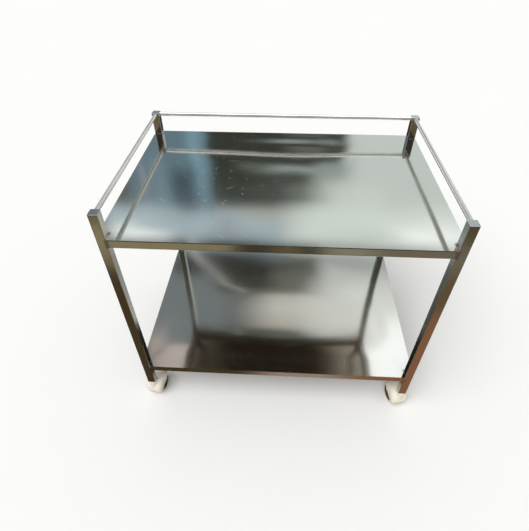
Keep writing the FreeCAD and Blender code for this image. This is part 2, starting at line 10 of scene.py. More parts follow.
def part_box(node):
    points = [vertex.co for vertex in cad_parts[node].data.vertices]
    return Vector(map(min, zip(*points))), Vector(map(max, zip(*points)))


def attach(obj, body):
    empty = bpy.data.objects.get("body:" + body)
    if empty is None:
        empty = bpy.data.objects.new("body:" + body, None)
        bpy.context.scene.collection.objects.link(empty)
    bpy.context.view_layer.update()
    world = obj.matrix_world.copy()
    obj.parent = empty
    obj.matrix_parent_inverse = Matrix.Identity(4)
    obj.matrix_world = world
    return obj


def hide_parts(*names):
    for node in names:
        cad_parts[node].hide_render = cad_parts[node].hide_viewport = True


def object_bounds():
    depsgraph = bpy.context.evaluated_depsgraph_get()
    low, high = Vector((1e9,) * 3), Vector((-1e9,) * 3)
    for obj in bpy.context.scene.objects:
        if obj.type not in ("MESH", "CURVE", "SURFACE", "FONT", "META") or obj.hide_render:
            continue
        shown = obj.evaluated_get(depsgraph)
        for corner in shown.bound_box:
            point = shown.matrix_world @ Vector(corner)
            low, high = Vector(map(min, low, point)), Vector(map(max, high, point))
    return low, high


bl_info = {
    "name": "Instrument Trolley",
    "version": (1, 0, 0),
    "blender": (4, 5, 0),
    "location": "View3D > Sidebar > Trolley",
    "description": "Sheets, welds and finishes of a stainless instrument trolley, with a studio to show it in",
    "category": "Object",
}

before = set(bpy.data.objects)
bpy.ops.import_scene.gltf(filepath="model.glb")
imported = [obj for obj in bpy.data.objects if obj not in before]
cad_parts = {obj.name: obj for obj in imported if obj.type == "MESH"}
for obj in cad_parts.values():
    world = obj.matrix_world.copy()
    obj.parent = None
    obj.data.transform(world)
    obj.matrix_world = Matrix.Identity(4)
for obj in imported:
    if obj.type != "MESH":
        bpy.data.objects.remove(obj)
CAD_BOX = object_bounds()
MM = 0.001

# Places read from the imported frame
POST = {corner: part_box(f"post_{corner}") for corner in
        ("front_left", "front_right", "rear_left", "rear_right")}
POST_INNER_X = POST["front_right"][0].x
POST_INNER_Y = -POST["front_right"][1].y
POST_MIDDLE_X = (POST["front_right"][0].x + POST["front_right"][1].x) / 2
POST_MIDDLE_Y = -(POST["front_right"][0].y + POST["front_right"][1].y) / 2
SHELF_TOP = {level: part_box(f"{level}_shelf")[1].z for level in ("upper", "lower")}
BAR_BOTTOM = {level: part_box(f"{level}_bar_front")[0].z for level in ("upper", "lower")}
BAR_TOP = {level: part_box(f"{level}_bar_front")[1].z for level in ("upper", "lower")}
RAIL_Z = (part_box("guard_rail_left")[0].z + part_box("guard_rail_left")[1].z) / 2
RAIL_RADIUS = (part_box("guard_rail_left")[1].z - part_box("guard_rail_left")[0].z) / 2
CORNERS = {
    "front_left": (-1, -1),
    "front_right": (1, -1),
    "rear_left": (-1, 1),
    "rear_right": (1, 1),
}

# A castor at its own zero: the wheels trail along +Y, and each castor is turned from there
CASTOR_ANGLE = {"front_left": -12.0, "front_right": 14.0, "rear_left": 194.0, "rear_right": 168.0}
CASTOR_TRAIL = 26 * MM
WHEEL_RADIUS = 37.5 * MM
WHEEL_FACE = 25.9 * MM

# The glowing wall card that paints the sheets' reflections, how strongly the painted reflection cards glow, and a
# reach beyond any card
REFLECTION_WALL_Y = 24
REFLECTION_WALL_GLOW = 1.58
FLOOR_REFLECTION_GLOW = 1.9
HIGHLIGHT_CARD_GLOW = 3.0
WHOLE = 90
WHOLE_EDGE = 9

# Node kinds that are used most
MATH = "ShaderNodeMath"
VECTOR = "ShaderNodeVectorMath"
RANGE = "ShaderNodeMapRange"
NOISE = "ShaderNodeTexNoise"
MIX = "ShaderNodeMix"


def linear(code):
    """Linear colour of an sRGB hex value."""
    parts = [int(code[i:i + 2], 16) / 255 for i in (1, 3, 5)]
    return tuple(p / 12.92 if p <= 0.04045 else ((p + 0.055) / 1.055) ** 2.4 for p in parts)


def length(name, description, millimetres, low=0.0, high=1000.0):
    return FloatProperty(name=name, description=description, default=millimetres * MM,
                         min=low * MM, max=high * MM, unit="LENGTH", precision=5)


def colour(name, description, code):
    return FloatVectorProperty(name=name, description=description, default=linear(code),
                               size=3, min=0.0, max=1.0, subtype="COLOR")


class TrolleySizes(PropertyGroup):
    sheet_thickness: length("Sheet", "Thickness of the shelf sheet", 1.2, 0.6, 2)
    hem_width: length("Hem", "Width of the folded edge under a shelf", 14, 6, 24)
    sheet_grid: length("Grid", "Spacing of the sheet's mesh", 11, 5, 40)
    weld_radius: length("Weld", "Radius of a weld bead", 1.5, 0.5, 3)
    weld_pitch: length("Ripple", "Spacing of the ripples along a bead", 1.9, 0.8, 4)
    tack_length: length("Tack", "Length of the tack welds between shelf and post", 8, 3, 20)
    ring_bead: length("Rail weld", "Radius of the bead round the end of a guard rail", 1.1, 0.5, 2)
    trim_radius: length("Trim radius", "Radius of the light ring on a wheel's face", 19, 10, 30)
    trim_width: length("Trim width", "Width of the light ring on a wheel's face", 2.6, 1, 6)


class TrolleyColours(PropertyGroup):
    sheet: colour("Sheet steel", "Polished shelf sheet", "#CFD1CE")
    tube: colour("Tube steel", "Polished square tube", "#C4C2BB")
    rail: colour("Rail steel", "Bright drawn rail tube", "#E4E3E0")
    cap: colour("Cap steel", "Ground cap plates", "#C3C9CE")
    heat: colour("Heat tint", "Straw to brown tint beside a weld", "#6F5A45")
    scuff: colour("Scuff", "Pale metal in a scratch", "#EFEFEA")
    hood: colour("Hood", "Ivory moulded castor hood", "#EEE7D8")
    tyre: colour("Tyre", "Ivory tyre", "#E6DECB")
    wheel: colour("Wheel face", "Dark glossy wheel centre", "#2A1F19")
    trim: colour("Wheel ring", "Light ring on the wheel centre", "#DAD5C8")
    plug: colour("Leg plug", "Dark moulded plug", "#2B2622")
    zinc: colour("Plated steel", "Zinc-plated pins", "#C4C8CC")
    # Brown laid low on the castors: floor dirt and painted shade
    dirt_and_shade: colour("Dirt", "Floor dirt on the castors", "#8C7A62")


class StudioSettings(PropertyGroup):
    focal_pixels: FloatProperty(name="Focal length", description="Focal length in pixels of the 531 high picture",
                                default=400.94, min=100, max=2000)
    camera_place: FloatVectorProperty(name="Camera", description="Place of the camera", size=3,
                                      default=(0.0055, -1.0438, 1.4017), subtype="TRANSLATION", unit="LENGTH")
    pitch: FloatProperty(name="Pitch", description="Camera below level", default=math.radians(41.688),
                         subtype="ANGLE")
    yaw: FloatProperty(name="Yaw", description="Camera to the right of straight ahead",
                       default=math.radians(-3.197), subtype="ANGLE")
    roll: FloatProperty(name="Roll", description="Camera roll", default=math.radians(-0.280), subtype="ANGLE")
    rise: FloatProperty(name="Shift", description="Vertical shift in picture heights", default=-15.5 / 531)
    soft_light: FloatProperty(name="Soft light", description="Even light from all round", default=0.52, min=0)
    key_light: FloatProperty(name="Key light", description="Soft key light, watts per square metre",
                             default=2.0, min=0)
    floor: colour("Floor", "Pale matte floor", "#F8F8F6")


# Nodes

def add(tree, kind, *inputs, **settings):
    """Add a node with its settings and links, and return it.

    Inputs are given in the order in which they show, None leaving one as it is. A setting is
    named for a property of the node or for an input. A node given as an input stands for its
    first output that shows.
    """
    node = tree.nodes.new(kind)
    named = {}
    for name, value in settings.items():
        if hasattr(node, name):
            setattr(node, name, value)
        else:
            named[name.replace("_", " ")] = value
    shown = [socket for socket in node.inputs if socket.enabled]
    pairs = list(zip(shown, inputs)) + [(node.inputs[name], value) for name, value in named.items()]
    for socket, value in pairs:
        if isinstance(value, bpy.types.Node):
            value = next(output for output in value.outputs if output.enabled)
        if isinstance(value, bpy.types.NodeSocket):
            tree.links.new(value, socket)
        elif value is not None:
            socket.default_value = (*value[:3], 1) if socket.type == "RGBA" else value
    return node


def new_material(name):
    material = bpy.data.materials.new(name)
    material.use_nodes = True
    material.node_tree.nodes.clear()
    return material, material.node_tree


def finish_material(material, shader, preview):
    add(material.node_tree, "ShaderNodeOutputMaterial", shader)
    material.diffuse_color = (*preview, 1)
    return material


def scratches(tree, place, cell, long, thin, share, seed):
    """Short bowed scratches at random angles in the XY plane: one in some of the cells."""
    moved = add(tree, "ShaderNodeMapping", place, Location=(seed, seed * 1.7, 0))
    cells = add(tree, "ShaderNodeTexVoronoi", moved, 1 / cell, voronoi_dimensions="2D")
    chance = add(tree, "ShaderNodeSeparateColor", cells.outputs["Color"])
    offset = add(tree, VECTOR, moved, cells.outputs["Position"], operation="SUBTRACT")
    angle = add(tree, MATH, chance.outputs[0], 2 * math.pi, operation="MULTIPLY")
    turned = add(tree, "ShaderNodeVectorRotate", offset, rotation_type="Z_AXIS", Angle=angle)
    axes = add(tree, "ShaderNodeSeparateXYZ", turned)
    run = add(tree, MATH, axes.outputs[0], operation="ABSOLUTE")
    reach = add(tree, MATH, chance.outputs[1], long, operation="MULTIPLY")
    within = add(tree, MATH, run, reach, operation="LESS_THAN")
    squared = add(tree, MATH, run, run, operation="MULTIPLY")
    bow = add(tree, MATH, squared, -0.05 / long, axes.outputs[1], operation="MULTIPLY_ADD")
    across = add(tree, MATH, bow, operation="ABSOLUTE")
    line = add(tree, RANGE, across, 0.0, thin, 1.0, 0.0)
    chosen = add(tree, MATH, chance.outputs[2], share, operation="LESS_THAN")
    drawn = add(tree, MATH, line, within, operation="MULTIPLY")
    return add(tree, MATH, drawn, chosen, operation="MULTIPLY")


def soft_patch(tree, place, shade, patch_colour, middle, half, soft, lean=0.0):
    """Lay a patch with soft edges over a shade, leaning about Y: its middle, half size and edges in metres."""
    if lean:
        place = add(tree, "ShaderNodeVectorRotate", place, rotation_type="Y_AXIS", Center=middle,
                    Angle=math.radians(lean))
    offset = add(tree, VECTOR, place, middle, operation="SUBTRACT")
    away = add(tree, VECTOR, offset, operation="ABSOLUTE")
    outer = [h + s for h, s in zip(half, soft)]
    inner = [h - s for h, s in zip(half, soft)]
    edges = add(tree, RANGE, away, outer, inner, (0, 0, 0), (1, 1, 1), data_type="FLOAT_VECTOR",
                interpolation_type="SMOOTHSTEP")
    cover = add(tree, "ShaderNodeSeparateXYZ", edges)
    both = add(tree, MATH, cover.outputs[0], cover.outputs[1], operation="MULTIPLY")
    whole = add(tree, MATH, both, cover.outputs[2], operation="MULTIPLY")
    return add(tree, MIX, whole, shade, linear(patch_colour), data_type="RGBA")


# Finishes

def polished_sheet(colours):
    """Cold-rolled 304 stainless sheet, buffed: a clear mirror with fine lines, scratches and heat tint."""
    material, tree = new_material("buffed stainless sheet")
    place = add(tree, "ShaderNodeTexCoord").outputs["Object"]

    # Buffing lines are under 0.1 mm apart. They are drawn about 1 mm apart so that they show.
    lines = add(tree, NOISE, add(tree, "ShaderNodeMapping", place, Scale=(9, 760, 760)), 1.0, 4, 0.65)
    clouds = add(tree, NOISE, place, 5.5, 3)
    haze = add(tree, NOISE, place, 38, 5, 0.6)

    # Handling scratches are a few hundredths wide. They are drawn 0.8 mm wide, and the specks among
    # them 2 mm wide, so that they show.
    fine = scratches(tree, place, 0.017, 0.0055, 0.00045, 0.16, 0.13)
    long = scratches(tree, place, 0.074, 0.024, 0.00040, 0.16, 0.71)
    specks = scratches(tree, place, 0.010, 0.0011, 0.0010, 0.22, 1.37)
    worn = add(tree, VECTOR, place, (-0.22, -0.09, SHELF_TOP["upper"]), operation="DISTANCE")
    wear = add(tree, RANGE, worn, 0.05, 0.26, 1.0, 0.45)
    faint = add(tree, MATH, specks, 0.5, operation="MULTIPLY")
    marks = add(tree, MATH, add(tree, MATH, fine, long, operation="MAXIMUM"), faint, operation="MAXIMUM")
    marks = add(tree, MATH, marks, wear, operation="MULTIPLY")

    # Heat tint is a ragged spot of about 12 mm at each of the tacked corners
    folded = add(tree, VECTOR, add(tree, VECTOR, place, operation="ABSOLUTE"),
                 (POST_INNER_X + 0.003, POST_INNER_Y + 0.003, 0), operation="SUBTRACT")
    flat = add(tree, VECTOR, folded, (1, 1, 0), operation="MULTIPLY")
    away = add(tree, MATH, haze, 0.010, add(tree, VECTOR, flat, operation="LENGTH"), operation="MULTIPLY_ADD")
    heat = add(tree, RANGE, away, 0.006, 0.017, 1.0, 0.0, interpolation_type="SMOOTHSTEP")

    shade = add(tree, MIX, add(tree, MATH, clouds, 0.4, operation="MULTIPLY"), colours.sheet,
                [c * 0.88 for c in colours.sheet], data_type="RGBA")
    shade = add(tree, MIX, add(tree, MATH, heat, 0.75, operation="MULTIPLY"), shade, colours.heat,
                data_type="RGBA")
    shade = add(tree, MIX, marks, shade, colours.scuff, data_type="RGBA")
    rough = add(tree, MATH, lines, 0.05, 0.05, operation="MULTIPLY_ADD")
    rough = add(tree, MATH, clouds, 0.04, rough, operation="MULTIPLY_ADD")
    rough = add(tree, MATH, heat, 0.22, rough, operation="MULTIPLY_ADD")
    rough = add(tree, MATH, marks, 0.42, rough, operation="MULTIPLY_ADD")
    metal = add(tree, MATH, marks, -0.85, 1.0, operation="MULTIPLY_ADD")
    height = add(tree, MATH, lines, 0.35, add(tree, MATH, 0.0, marks, operation="SUBTRACT"),
                 operation="MULTIPLY_ADD")
    bump = add(tree, "ShaderNodeBump", Height=height, Strength=0.08, Distance=0.00005)
    shader = add(tree, "ShaderNodeBsdfPrincipled", Base_Color=shade, Metallic=metal, Roughness=rough, Normal=bump)
    return finish_material(material, shader, colours.sheet)


def polished_tube(colours, name, base, along, roughness, metal=1.0):
    """Welded stainless tube, belt polished along its length: satin mirror, blotched, with ground weld zones.

    A metal share below 1 stands for handling wear, whose fine scratches scatter light evenly.
    """
    material, tree = new_material(name)
    place = add(tree, "ShaderNodeTexCoord").outputs["Object"]

    # Belt lines follow the tube. Grit 240 leaves them about 0.06 mm apart: drawn about 0.7 mm apart.
    stretch = [1100.0, 1100.0, 1100.0]
    stretch[along] = 7.0
    lines = add(tree, NOISE, add(tree, "ShaderNodeMapping", place, Scale=stretch), 1.0, 3, 0.6)
    clouds = add(tree, NOISE, place, 14, 4, 0.6)
    patches = add(tree, NOISE, place, 60, 2)

    # Ground weld zones where a bar meets a post
    folded = add(tree, VECTOR, add(tree, VECTOR, place, operation="ABSOLUTE"),
                 (POST_INNER_X, POST_INNER_Y, 0), operation="SUBTRACT")
    seam = add(tree, "ShaderNodeSeparateXYZ", add(tree, VECTOR, folded, operation="ABSOLUTE"))
    nearest = add(tree, MATH, seam.outputs[0], seam.outputs[1], operation="MINIMUM")
    ragged = add(tree, MATH, patches, -0.003, nearest, operation="MULTIPLY_ADD")
    beside = add(tree, RANGE, ragged, 0.0, 0.007, 1.0, 0.0)
    height = add(tree, "ShaderNodeSeparateXYZ", place).outputs[2]
    bands = []
    for level in ("upper", "lower"):
        middle = (BAR_TOP[level] + BAR_BOTTOM[level]) / 2
        half = (BAR_TOP[level] - BAR_BOTTOM[level]) / 2
        off = add(tree, MATH, add(tree, MATH, height, middle, operation="SUBTRACT"), operation="ABSOLUTE")
        bands.append(add(tree, RANGE, off, half, half + 0.004, 1.0, 0.0))
    weld = add(tree, MATH, beside, add(tree, MATH, *bands, operation="MAXIMUM"), operation="MULTIPLY")

    shade = add(tree, MIX, add(tree, MATH, clouds, 0.7, operation="MULTIPLY"), base, [c * 0.80 for c in base],
                data_type="RGBA")
    shade = add(tree, MIX, add(tree, MATH, weld, 0.45, operation="MULTIPLY"), shade, colours.heat,
                data_type="RGBA")
    rough = add(tree, MATH, lines, 0.07, roughness, operation="MULTIPLY_ADD")
    rough = add(tree, MATH, clouds, 0.06, rough, operation="MULTIPLY_ADD")
    rough = add(tree, MATH, weld, 0.18, rough, operation="MULTIPLY_ADD")
    ground = add(tree, MATH, weld, patches, operation="MULTIPLY")
    surface = add(tree, MATH, lines, 0.5, ground, operation="MULTIPLY_ADD")
    swell = add(tree, "ShaderNodeBump", Height=patches, Strength=0.5, Distance=0.0002)
    bump = add(tree, "ShaderNodeBump", Height=surface, Normal=swell, Strength=0.22, Distance=0.00008)
    shader = add(tree, "ShaderNodeBsdfPrincipled", Base_Color=shade, Metallic=metal, Roughness=rough, Normal=bump)
    return finish_material(material, shader, base)


def weld_metal(colours):
    """TIG weld bead in stainless, brushed clean: duller and darker than the tube, with a straw tint."""
    material, tree = new_material("brushed TIG weld")
    place = add(tree, "ShaderNodeTexCoord").outputs["Object"]
    spots = add(tree, NOISE, place, 420, 4, 0.7)
    shade = add(tree, MIX, spots, [c * 0.8 for c in colours.tube], colours.heat, data_type="RGBA")
    rough = add(tree, MATH, spots, 0.22, 0.26, operation="MULTIPLY_ADD")
    bump = add(tree, "ShaderNodeBump", Height=spots, Strength=0.3, Distance=0.0001)
    shader = add(tree, "ShaderNodeBsdfPrincipled", Base_Color=shade, Metallic=1.0, Roughness=rough, Normal=bump)
    return finish_material(material, shader, colours.tube)


def zinc_plated(colours):
    """Turned steel pin, bright zinc plated: satin, with turning lines round its axis."""
    material, tree = new_material("zinc plated steel")
    place = add(tree, "ShaderNodeTexCoord").outputs["Object"]

    # Turning feed is about 0.1 mm. The lines are drawn about 0.4 mm apart so that they show.
    lines = add(tree, NOISE, add(tree, "ShaderNodeMapping", place, Scale=(40, 40, 2400)), 1.0, 2)
    spots = add(tree, NOISE, place, 160, 4)
    shade = add(tree, MIX, spots, colours.zinc, [c * 0.72 for c in colours.zinc], data_type="RGBA")
    rough = add(tree, MATH, lines, 0.16, 0.24, operation="MULTIPLY_ADD")
    bump = add(tree, "ShaderNodeBump", Height=lines, Strength=0.2, Distance=0.00005)
    shader = add(tree, "ShaderNodeBsdfPrincipled", Base_Color=shade, Metallic=1.0, Roughness=rough, Normal=bump)
    return finish_material(material, shader, colours.zinc)


def moulded_plastic(name, base, dirt_and_shade, gloss, grain, dirt_and_shade_height, dirt_and_shade_share):
    """Injection-moulded plastic: even colour, fine mould grain, and brown low down and in patches, which is floor
    dirt and painted shade.
    """
    material, tree = new_material(name)
    place = add(tree, "ShaderNodeTexCoord").outputs["Object"]
    height = add(tree, "ShaderNodeSeparateXYZ", place).outputs[2]

    # Spark-eroded mould grain is about 0.15 mm. It is drawn at 0.4 mm or more so that it shows close up.
    fine = add(tree, NOISE, place, 1 / grain, 2)
    cloud = add(tree, NOISE, place, 55, 4, 0.6)
    streak = add(tree, NOISE, place, 190, 5, 0.7)
    # Browner low down and in streaks: floor dirt, and painted shade near the floor
    low = add(tree, RANGE, height, 0.0, dirt_and_shade_height, 0.45, 0.0)
    gathered = add(tree, MATH, streak, 0.75, low, operation="MULTIPLY_ADD")
    dirt_and_shade_cover = add(tree, RANGE, gathered, 0.42, 0.78, 0.0, dirt_and_shade_share, interpolation_type="SMOOTHSTEP")
    shade = add(tree, MIX, add(tree, MATH, cloud, 0.5, operation="MULTIPLY"), base, [c * 0.88 for c in base],
                data_type="RGBA")
    shade = add(tree, MIX, dirt_and_shade_cover, shade, dirt_and_shade, data_type="RGBA")
    rough = add(tree, MATH, cloud, 0.10, gloss, operation="MULTIPLY_ADD")
    rough = add(tree, MATH, dirt_and_shade_cover, 0.4, rough, operation="MULTIPLY_ADD")
    bump = add(tree, "ShaderNodeBump", Height=fine, Strength=0.12, Distance=0.0001)
    shader = add(tree, "ShaderNodeBsdfPrincipled", Base_Color=shade, Roughness=rough, Normal=bump, IOR=1.49)
    return finish_material(material, shader, base)


# Modelling helpers

def start_clean():
    if bpy.context.object is not None and bpy.context.mode != "OBJECT":
        bpy.ops.object.mode_set(mode="OBJECT")
    bpy.ops.object.select_all(action="DESELECT")


def pick(kind, test):
    """In edit mode, select only the vertices, edges or faces that a test on their middle and self accepts."""
    mesh = bpy.context.object.data
    bpy.ops.mesh.select_mode(type={"verts": "VERT", "edges": "EDGE", "faces": "FACE"}[kind])
    bpy.ops.mesh.select_all(action="DESELECT")
    shape = bmesh.from_edit_mesh(mesh)
    count = 0
    for item in getattr(shape, kind):
        if kind == "verts":
            middle = item.co
        elif kind == "edges":
            middle = (item.verts[0].co + item.verts[1].co) / 2
        else:
            middle = item.calc_center_median()
        chosen = bool(test(middle, item))
        item.select_set(chosen)
        count += chosen
    shape.select_flush_mode()
    bmesh.update_edit_mesh(mesh)
    if not count:
        raise RuntimeError(f"nothing selected on {bpy.context.object.name}")
    return count


def apply_modifier(piece, kind, **settings):
    """Add a modifier with these settings and apply it."""
    bpy.context.view_layer.objects.active = piece
    modifier = piece.modifiers.new(kind.title(), kind)
    for name, value in settings.items():
        setattr(modifier, name, value)
    bpy.ops.object.modifier_apply(modifier=modifier.name)


def settle(piece):
    """Put the piece's place, turn and scale into its mesh."""
    start_clean()
    piece.select_set(True)
    bpy.context.view_layer.objects.active = piece
    bpy.ops.object.transform_apply(location=True, rotation=True, scale=True)


def dress(piece, material, body, smooth=30):
    """Smooth the piece, give it its finish and let it ride."""
    settle(piece)
    bpy.ops.object.shade_smooth_by_angle(angle=math.radians(smooth))
    piece.data.materials.clear()
    piece.data.materials.append(material)
    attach(piece, body)


def copy_piece(piece, name, matrix):
    """A copy with its own mesh, moved by a matrix."""
    twin = bpy.data.objects.new(name, piece.data.copy())
    bpy.context.scene.collection.objects.link(twin)
    twin.data.transform(matrix)
    return twin


def join(pieces, name):
    start_clean()
    for piece in pieces:
        piece.select_set(True)
    bpy.context.view_layer.objects.active = pieces[0]
    if len(pieces) > 1:
        bpy.ops.object.join()
    pieces[0].name = name
    return pieces[0]


# Shelf sheets

def bump_shape(value, middle, half_width):
    """1 in the middle, falling smoothly to 0 at the half width."""
    away = min(abs(value - middle) / half_width, 1.0)
    return 0.5 + 0.5 * math.cos(math.pi * away)


def free_of_bars(x, y):
    """0 over the bars, 1 away from them."""
    near = min(POST_INNER_X - abs(x), POST_INNER_Y - abs(y)) / 0.07
    near = max(0.0, min(1.0, near))
    return near * near * (3 - 2 * near)


def upper_waves(x, y):
    """Height in millimetres of the weld-drawn waves in the upper sheet."""
    crest = 1.7 * bump_shape(y, 0.07, 0.17) * bump_shape(x, 0.0, 0.40)
    hollow = -1.5 * bump_shape(y, 0.235, 0.14) * bump_shape(x, 0.01, 0.36)
    ripple = 0.22 * math.sin(x * 17.0 + 0.6) * math.sin(y * 13.0 + 1.1)
    return (crest + hollow + ripple) * free_of_bars(x, y)


def lower_waves(x, y):
    """Height in millimetres of the waves in the lower sheet, deepest behind the front bar."""
    crest = 1.8 * bump_shape(y, -0.235, 0.12) * bump_shape(x, 0.0, 0.75)
    hollow = -2.5 * bump_shape(y, -0.075, 0.17) * bump_shape(x, 0.02, 0.65)
    ripple = 0.25 * math.sin(x * 15.0 + 2.0) * math.sin(y * 12.0)
    return (crest + hollow + ripple) * free_of_bars(x, y)


def shelf_sheet(level, waves, sizes, material):
    """One sheet: a fine grid with post notches, hems folded under, weld-drawn waves and its thickness."""
    low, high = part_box(f"{level}_shelf")
    thick = sizes.sheet_thickness
    arc = (high.z - low.z - thick) / 2
    middle_z = high.z - thick / 2
    reach_x = high.x - thick / 2 - arc
    reach_y = high.y - thick / 2 - arc
    notch_x = POST_INNER_X - 0.3 * MM
    notch_y = POST_INNER_Y - 0.3 * MM

    start_clean()
    bpy.ops.mesh.primitive_grid_add(
        x_subdivisions=round(2 * reach_x / sizes.sheet_grid),
        y_subdivisions=round(2 * reach_y / sizes.sheet_grid), size=1, location=(0, 0, middle_z))
    piece = bpy.context.object
    piece.name = f"{level}_shelf_sheet"
    piece.scale = (2 * reach_x, 2 * reach_y, 1)
    bpy.ops.object.transform_apply(location=True, rotation=True, scale=True)

    bpy.ops.object.mode_set(mode="EDIT")
    for place, direction in (((notch_x, 0, 0), (1, 0, 0)), ((-notch_x, 0, 0), (1, 0, 0)),
                             ((0, notch_y, 0), (0, 1, 0)), ((0, -notch_y, 0), (0, 1, 0))):
        bpy.ops.mesh.select_all(action="SELECT")
        bpy.ops.mesh.bisect(plane_co=place, plane_no=direction)
    pick("faces", lambda middle, face: abs(middle.x) > notch_x and abs(middle.y) > notch_y)
    bpy.ops.mesh.delete(type="FACE")

    inward = sizes.hem_width - thick / 2 - arc
    centre_z = middle_z - arc
    for axis, side in (("y", -1), ("y", 1), ("x", -1), ("x", 1)):
        reach = reach_y if axis == "y" else reach_x
        pick("edges", lambda middle, edge: abs(getattr(middle, axis) - side * reach) < 1e-5
             and abs(middle.z - middle_z) < 1e-5)
        centre = (0, side * reach, centre_z) if axis == "y" else (side * reach, 0, centre_z)
        turn_axis = (-side, 0, 0) if axis == "y" else (0, side, 0)
        bpy.ops.mesh.spin(steps=6, angle=math.pi, center=centre, axis=turn_axis)
        step = (0, -side * inward, 0) if axis == "y" else (-side * inward, 0, 0)
        bpy.ops.mesh.extrude_edges_move(TRANSFORM_OT_translate={"value": step})
    bpy.ops.mesh.select_all(action="SELECT")
    bpy.ops.mesh.remove_doubles(threshold=0.00002)
    bpy.ops.object.mode_set(mode="OBJECT")

    # The waves are painted as weights and raised by a modifier
    spread = 3.0
    group = piece.vertex_groups.new(name="waves")
    for vertex in piece.data.vertices:
        x, y, z = vertex.co
        height = waves(x, y) if z > middle_z - 1e-5 else 0.0
        group.add([vertex.index], 0.5 + height / (2 * spread), "REPLACE")
    piece.location.z = -spread * MM
    settle(piece)
    apply_modifier(piece, "DISPLACE", direction="Z", mid_level=0.0, strength=2 * spread * MM,
                   vertex_group="waves")
    apply_modifier(piece, "SOLIDIFY", thickness=thick, offset=0.0, use_even_offset=True)
    apply_modifier(piece, "BEVEL", width=0.2 * MM, segments=1, limit_method="ANGLE",
                   angle_limit=math.radians(60))
    dress(piece, material, "frame", smooth=35)
    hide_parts(f"{level}_shelf")


# Weld beads

def straight_bead(name, bead_length, radius, pitch):
    """A rippled bead along X, built by pushing one round face out step by step."""
    start_clean()
    bpy.ops.mesh.primitive_circle_add(vertices=10, radius=radius * 0.5, fill_type="NGON",
                                      location=(-bead_length / 2, 0, 0), rotation=(0, math.pi / 2, 0))
    bead = bpy.context.object
    bead.name = name
    bpy.ops.object.transform_apply(location=True, rotation=True, scale=True)
    bpy.ops.object.mode_set(mode="EDIT")
    bpy.ops.mesh.select_all(action="SELECT")
    ripples = max(2, round(bead_length / pitch))
    step = bead_length / ripples
    for index in range(ripples):
        grow = 2.0 if index == 0 else 1 / 0.80
        bpy.ops.mesh.extrude_region_move(TRANSFORM_OT_translate={"value": (step * 0.35, 0, 0)})
        bpy.ops.transform.resize(value=(1, grow, grow))
        bpy.ops.mesh.extrude_region_move(TRANSFORM_OT_translate={"value": (step * 0.65, 0, 0)})
        shrink = 0.5 if index == ripples - 1 else 0.80
        bpy.ops.transform.resize(value=(1, shrink, shrink))
    bpy.ops.mesh.select_all(action="SELECT")
    bpy.ops.mesh.normals_make_consistent(inside=False)
    bpy.ops.object.mode_set(mode="OBJECT")
    apply_modifier(bead, "SUBSURF", levels=1, render_levels=1)
    return bead


def ring_bead(name, major, minor):
    """A rippled bead round X, from a torus whose every second section is drawn in."""
    start_clean()
    sections, round_count = 44, 8
    bpy.ops.mesh.primitive_torus_add(major_segments=sections, minor_segments=round_count,
                                     major_radius=major, minor_radius=minor, rotation=(0, math.pi / 2, 0))
    ring = bpy.context.object
    ring.name = name
    bpy.ops.object.transform_apply(location=True, rotation=True, scale=True)
    bpy.ops.object.mode_set(mode="EDIT")
    pick("verts", lambda place, vertex: (vertex.index // round_count) % 2 == 0)
    bpy.ops.transform.shrink_fatten(value=-0.22 * minor)
    bpy.ops.object.mode_set(mode="OBJECT")
    apply_modifier(ring, "SUBSURF", levels=1, render_levels=1)
    return ring


def turned(angle, axis):
    return Matrix.Rotation(math.radians(angle), 4, axis)


def grind_flush(piece, top):
    """Cut away what stands above a height, as a grinder does."""
    start_clean()
    bpy.context.view_layer.objects.active = piece
    bpy.ops.object.mode_set(mode="EDIT")
    bpy.ops.mesh.select_all(action="SELECT")
    bpy.ops.mesh.bisect(plane_co=(0, 0, top), plane_no=(0, 0, 1), clear_outer=True, use_fill=True)
    bpy.ops.object.mode_set(mode="OBJECT")


def weld_set(corner, models, sizes, material):
    """All the beads at one post: under the bars, at the shelf notches and round the rail ends."""
    side_x, side_y = CORNERS[corner]
    bead, tack, ring = models
    pieces = []

    def place(model, x, y, z, turn=0):
        matrix = Matrix.Translation((x, y, z)) @ turned(turn, "Z")
        pieces.append(copy_piece(model, f"bead_{corner}_{len(pieces)}", matrix))

    for level in ("upper", "lower"):
        bottom = BAR_BOTTOM[level]
        place(bead, side_x * POST_INNER_X, side_y * POST_MIDDLE_Y, bottom, 90)
        place(bead, side_x * POST_MIDDLE_X, side_y * POST_INNER_Y, bottom)
        top = SHELF_TOP[level]
        place(tack, side_x * POST_INNER_X, side_y * (POST_INNER_Y + 0.009), top, 90)
        place(tack, side_x * (POST_INNER_X + 0.009), side_y * POST_INNER_Y, top)
    place(ring, side_x * POST_MIDDLE_X, side_y * POST_INNER_Y, RAIL_Z, 90)
    if side_y > 0:
        place(ring, side_x * POST_INNER_X, side_y * POST_MIDDLE_Y, RAIL_Z)
    whole = join(pieces, f"weld_beads_{corner}")
    grind_flush(whole, CAD_BOX[1].z - 0.1 * MM)
    dress(whole, material, "frame", smooth=60)


# Castor trim

def castor_matrix(corner):
    side_x, side_y = CORNERS[corner]
    place = Matrix.Translation((side_x * POST_MIDDLE_X, side_y * POST_MIDDLE_Y, 0))
    return place @ turned(CASTOR_ANGLE[corner], "Z")


def wheel_ring(sizes, direction):
    """A light ring bedded on the raised ring of a wheel's face, across X, at the castor's own zero."""
    start_clean()
    bpy.ops.mesh.primitive_torus_add(major_segments=96, minor_segments=12, major_radius=sizes.trim_radius,
                                     minor_radius=sizes.trim_width / 2, rotation=(0, math.pi / 2, 0))
    ring = bpy.context.object
    ring.name = "wheel_ring_model"
    ring.scale = (0.5, 1, 1)
    ring.location = (direction * WHEEL_FACE, CASTOR_TRAIL, WHEEL_RADIUS)
    bpy.ops.object.transform_apply(location=True, rotation=True, scale=True)
    return ring


# Studio

